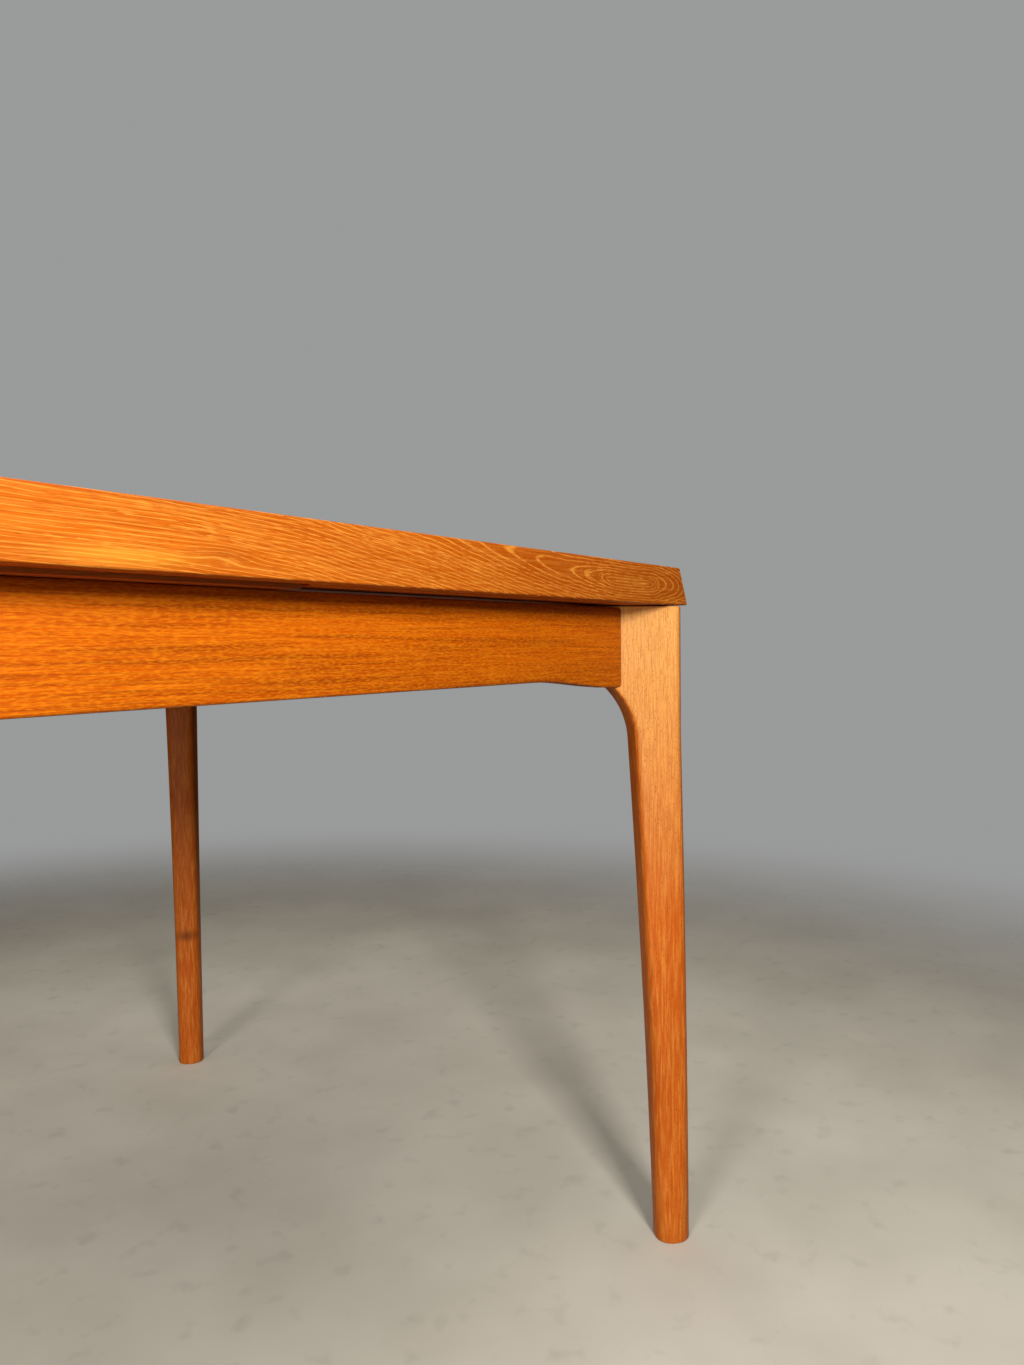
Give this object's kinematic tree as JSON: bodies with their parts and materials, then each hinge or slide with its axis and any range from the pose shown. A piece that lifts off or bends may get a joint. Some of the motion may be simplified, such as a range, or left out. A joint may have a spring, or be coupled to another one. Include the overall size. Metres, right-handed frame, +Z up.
{
  "type": "draw-leaf table",
  "caption": "Rectangular dining table in oiled teak with slanted edges, diagonal tapered legs, a loose lift-up top and a pull-out leaf stored under each end.",
  "frame": {"origin": "middle of the footprint on the floor", "axes": "+Z up, +X along the length towards the right end, -Y towards the front long side seen in the picture"},
  "size_m": [1.3692, 0.8692, 0.73],
  "materials": {
    "teak_leg": "oiled solid teak, satin",
    "teak_lipping": "oiled solid teak lipping, satin",
    "teak_face": "oiled teak, straight grain, satin",
    "beech": "bare beech, planed",
    "zinc_steel": "zinc-plated steel"
  },
  "bodies": {
    "frame": {"leg_front_right": "teak_leg", "leg_back_right": "teak_leg", "leg_front_left": "teak_leg", "leg_back_left": "teak_leg", "apron_front": "teak_face", "apron_back": "teak_face", "apron_right": "teak_face", "apron_left": "teak_face", "corner_block_front_right": "beech", "corner_block_back_right": "beech", "corner_block_front_left": "beech", "corner_block_back_left": "beech", "corner_bolt_front_right": "zinc_steel", "corner_bolt_back_right": "zinc_steel", "corner_bolt_front_left": "zinc_steel", "corner_bolt_back_left": "zinc_steel", "centre_board": "teak_face", "cross_rail_right": "beech", "cross_rail_left": "beech", "board_screw_front_right": "zinc_steel", "board_screw_front_left": "zinc_steel", "board_screw_back_right": "zinc_steel", "board_screw_back_left": "zinc_steel"},
    "top": {"top_panel": "teak_face", "top_lipping_front": "teak_lipping", "top_lipping_back": "teak_lipping", "top_lipping_right": "teak_lipping", "top_lipping_left": "teak_lipping", "top_dowel_front": "beech", "top_dowel_back": "beech"},
    "right_leaf": {"right_leaf_panel": "teak_face", "right_leaf_outer_lipping": "teak_lipping", "right_leaf_inner_lipping": "teak_lipping", "right_leaf_front_lipping": "teak_lipping", "right_leaf_front_bearer": "beech", "right_leaf_front_stop": "beech", "right_leaf_back_lipping": "teak_lipping", "right_leaf_back_bearer": "beech", "right_leaf_back_stop": "beech"},
    "left_leaf": {"left_leaf_panel": "teak_face", "left_leaf_outer_lipping": "teak_lipping", "left_leaf_inner_lipping": "teak_lipping", "left_leaf_front_lipping": "teak_lipping", "left_leaf_front_bearer": "beech", "left_leaf_front_stop": "beech", "left_leaf_back_lipping": "teak_lipping", "left_leaf_back_bearer": "beech", "left_leaf_back_stop": "beech"}
  },
  "joints": [
    {"name": "right_leaf_slide", "type": "slide", "parent": "frame", "child": "right_leaf", "axis": [1, 0, 0], "range_m": [0, 0.5]},
    {"name": "left_leaf_slide", "type": "slide", "parent": "frame", "child": "left_leaf", "axis": [-1, 0, 0], "range_m": [0, 0.5]},
    {"name": "top_lift", "type": "slide", "parent": "frame", "child": "top", "axis": [0, 0, 1], "range_m": [0, 0.022]}
  ]
}
